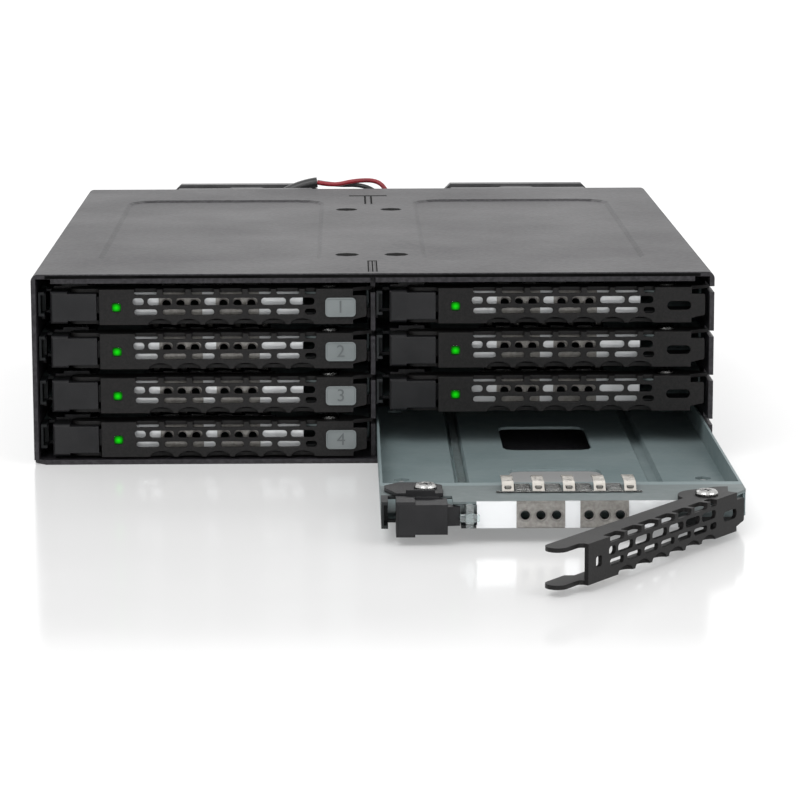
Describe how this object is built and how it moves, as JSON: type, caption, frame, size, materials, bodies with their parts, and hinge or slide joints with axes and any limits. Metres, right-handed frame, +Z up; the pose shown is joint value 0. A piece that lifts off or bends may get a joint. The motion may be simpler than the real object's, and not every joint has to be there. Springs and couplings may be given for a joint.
{
  "type": "hot swap drive cage",
  "caption": "Black steel cage for one half-height bay with sliding 2.5 inch drive trays, slotted swing levers, sprung latches, backplane and rear fans.",
  "frame": {"origin": "centre of the four mounting holes in the underside, on the underside's plane", "axes": "+X to the right seen from the front, +Y from the levers towards the fans, +Z up"},
  "size_m": [0.146, 0.2991, 0.0435],
  "materials": {
    "cage_steel": "black fine-textured powder coat",
    "tray_steel": "bright zinc plated sheet",
    "lever_steel": "satin black coat",
    "latch_plastic": "satin black",
    "fitting_steel": "bright nickel plate",
    "clear_plastic": "clear moulded",
    "tile_plastic": "grey, moulded",
    "board": "green solder mask",
    "connector_plastic": "black moulded",
    "fan_plastic": "black moulded",
    "screw_steel": "black zinc",
    "lead_cover": "soft insulation"
  },
  "bodies": {
    "cage": {"top_cover": "cage_steel", "base_plate": "cage_steel", "divider": "cage_steel", "rear_panel": "cage_steel", "tray_rails": "cage_steel", "backplane": "board", "drive_sockets": "connector_plastic", "data_ports": "connector_plastic", "power_inputs": "connector_plastic", "fan_plug": "connector_plastic", "fan_frame_left": "fan_plastic", "fan_frame_right": "fan_plastic", "cage_screws": "screw_steel", "fan_lead": "lead_cover"},
    "tray_1_slider": {"tray_1": "tray_steel", "tray_fittings_1": "fitting_steel", "light_pipe_1": "clear_plastic"},
    "lever_1_arm": {"lever_1": "lever_steel", "number_tile_1": "tile_plastic"},
    "latch_1_rocker": {"latch_1": "latch_plastic"},
    "tray_2_slider": {"tray_2": "tray_steel", "tray_fittings_2": "fitting_steel", "light_pipe_2": "clear_plastic"},
    "lever_2_arm": {"lever_2": "lever_steel", "number_tile_2": "tile_plastic"},
    "latch_2_rocker": {"latch_2": "latch_plastic"},
    "tray_3_slider": {"tray_3": "tray_steel", "tray_fittings_3": "fitting_steel", "light_pipe_3": "clear_plastic"},
    "lever_3_arm": {"lever_3": "lever_steel", "number_tile_3": "tile_plastic"},
    "latch_3_rocker": {"latch_3": "latch_plastic"},
    "tray_4_slider": {"tray_4": "tray_steel", "tray_fittings_4": "fitting_steel", "light_pipe_4": "clear_plastic"},
    "lever_4_arm": {"lever_4": "lever_steel", "number_tile_4": "tile_plastic"},
    "latch_4_rocker": {"latch_4": "latch_plastic"},
    "tray_5_slider": {"tray_5": "tray_steel", "tray_fittings_5": "fitting_steel", "light_pipe_5": "clear_plastic"},
    "lever_5_arm": {"lever_5": "lever_steel"},
    "latch_5_rocker": {"latch_5": "latch_plastic"},
    "tray_6_slider": {"tray_6": "tray_steel", "tray_fittings_6": "fitting_steel", "light_pipe_6": "clear_plastic"},
    "lever_6_arm": {"lever_6": "lever_steel"},
    "latch_6_rocker": {"latch_6": "latch_plastic"},
    "tray_7_slider": {"tray_7": "tray_steel", "tray_fittings_7": "fitting_steel", "light_pipe_7": "clear_plastic"},
    "lever_7_arm": {"lever_7": "lever_steel"},
    "latch_7_rocker": {"latch_7": "latch_plastic"},
    "tray_8_slider": {"tray_8": "tray_steel", "tray_fittings_8": "fitting_steel", "light_pipe_8": "clear_plastic"},
    "lever_8_arm": {"lever_8": "lever_steel"},
    "latch_8_rocker": {"latch_8": "latch_plastic"},
    "fan_left_wheel": {"fan_rotor_left": "fan_plastic"},
    "fan_right_wheel": {"fan_rotor_right": "fan_plastic"}
  },
  "joints": [
    {"name": "tray_1_slide", "type": "slide", "parent": "cage", "child": "tray_1_slider", "axis": [0, -1, 0], "range_m": [0, 0.11]},
    {"name": "lever_1_swing", "type": "hinge", "parent": "tray_1_slider", "child": "lever_1_arm", "pos_m": [-0.00945, -0.08273, 0.0375], "axis": [0, 0, 1], "range_deg": [0, 60]},
    {"name": "latch_1_press", "type": "hinge", "parent": "tray_1_slider", "child": "latch_1_rocker", "pos_m": [-0.0631, -0.07543, 0.0375], "axis": [0, 0, 1], "range_deg": [-7, 0], "stiffness_Nm_per_rad": 0.05},
    {"name": "tray_2_slide", "type": "slide", "parent": "cage", "child": "tray_2_slider", "axis": [0, -1, 0], "range_m": [0, 0.11]},
    {"name": "lever_2_swing", "type": "hinge", "parent": "tray_2_slider", "child": "lever_2_arm", "pos_m": [-0.00945, -0.08273, 0.0279], "axis": [0, 0, 1], "range_deg": [0, 60]},
    {"name": "latch_2_press", "type": "hinge", "parent": "tray_2_slider", "child": "latch_2_rocker", "pos_m": [-0.0631, -0.07543, 0.0279], "axis": [0, 0, 1], "range_deg": [-7, 0], "stiffness_Nm_per_rad": 0.05},
    {"name": "tray_3_slide", "type": "slide", "parent": "cage", "child": "tray_3_slider", "axis": [0, -1, 0], "range_m": [0, 0.11]},
    {"name": "lever_3_swing", "type": "hinge", "parent": "tray_3_slider", "child": "lever_3_arm", "pos_m": [-0.00945, -0.08273, 0.0183], "axis": [0, 0, 1], "range_deg": [0, 60]},
    {"name": "latch_3_press", "type": "hinge", "parent": "tray_3_slider", "child": "latch_3_rocker", "pos_m": [-0.0631, -0.07543, 0.0183], "axis": [0, 0, 1], "range_deg": [-7, 0], "stiffness_Nm_per_rad": 0.05},
    {"name": "tray_4_slide", "type": "slide", "parent": "cage", "child": "tray_4_slider", "axis": [0, -1, 0], "range_m": [0, 0.11]},
    {"name": "lever_4_swing", "type": "hinge", "parent": "tray_4_slider", "child": "lever_4_arm", "pos_m": [-0.00945, -0.08273, 0.0087], "axis": [0, 0, 1], "range_deg": [0, 60]},
    {"name": "latch_4_press", "type": "hinge", "parent": "tray_4_slider", "child": "latch_4_rocker", "pos_m": [-0.0631, -0.07543, 0.0087], "axis": [0, 0, 1], "range_deg": [-7, 0], "stiffness_Nm_per_rad": 0.05},
    {"name": "tray_5_slide", "type": "slide", "parent": "cage", "child": "tray_5_slider", "axis": [0, -1, 0], "range_m": [0, 0.11]},
    {"name": "lever_5_swing", "type": "hinge", "parent": "tray_5_slider", "child": "lever_5_arm", "pos_m": [0.06305, -0.08273, 0.0375], "axis": [0, 0, 1], "range_deg": [0, 60]},
    {"name": "latch_5_press", "type": "hinge", "parent": "tray_5_slider", "child": "latch_5_rocker", "pos_m": [0.0094, -0.07543, 0.0375], "axis": [0, 0, 1], "range_deg": [-7, 0], "stiffness_Nm_per_rad": 0.05},
    {"name": "tray_6_slide", "type": "slide", "parent": "cage", "child": "tray_6_slider", "axis": [0, -1, 0], "range_m": [0, 0.11]},
    {"name": "lever_6_swing", "type": "hinge", "parent": "tray_6_slider", "child": "lever_6_arm", "pos_m": [0.06305, -0.08273, 0.0279], "axis": [0, 0, 1], "range_deg": [0, 60]},
    {"name": "latch_6_press", "type": "hinge", "parent": "tray_6_slider", "child": "latch_6_rocker", "pos_m": [0.0094, -0.07543, 0.0279], "axis": [0, 0, 1], "range_deg": [-7, 0], "stiffness_Nm_per_rad": 0.05},
    {"name": "tray_7_slide", "type": "slide", "parent": "cage", "child": "tray_7_slider", "axis": [0, -1, 0], "range_m": [0, 0.11]},
    {"name": "lever_7_swing", "type": "hinge", "parent": "tray_7_slider", "child": "lever_7_arm", "pos_m": [0.06305, -0.08273, 0.0183], "axis": [0, 0, 1], "range_deg": [0, 60]},
    {"name": "latch_7_press", "type": "hinge", "parent": "tray_7_slider", "child": "latch_7_rocker", "pos_m": [0.0094, -0.07543, 0.0183], "axis": [0, 0, 1], "range_deg": [-7, 0], "stiffness_Nm_per_rad": 0.05},
    {"name": "tray_8_slide", "type": "slide", "parent": "cage", "child": "tray_8_slider", "axis": [0, -1, 0], "range_m": [-0.082, 0.028]},
    {"name": "lever_8_swing", "type": "hinge", "parent": "tray_8_slider", "child": "lever_8_arm", "pos_m": [0.06305, -0.16473, 0.0087], "axis": [0, 0, 1], "range_deg": [-54, 6]},
    {"name": "latch_8_press", "type": "hinge", "parent": "tray_8_slider", "child": "latch_8_rocker", "pos_m": [0.0094, -0.15743, 0.0087], "axis": [0, 0, 1], "range_deg": [-7, 0], "stiffness_Nm_per_rad": 0.05},
    {"name": "fan_left_spin", "type": "hinge", "parent": "cage", "child": "fan_left_wheel", "pos_m": [-0.032, 0.07998, 0.02115], "axis": [0, 1, 0], "continuous": true},
    {"name": "fan_right_spin", "type": "hinge", "parent": "cage", "child": "fan_right_wheel", "pos_m": [0.0395, 0.07998, 0.02115], "axis": [0, 1, 0], "continuous": true}
  ]
}
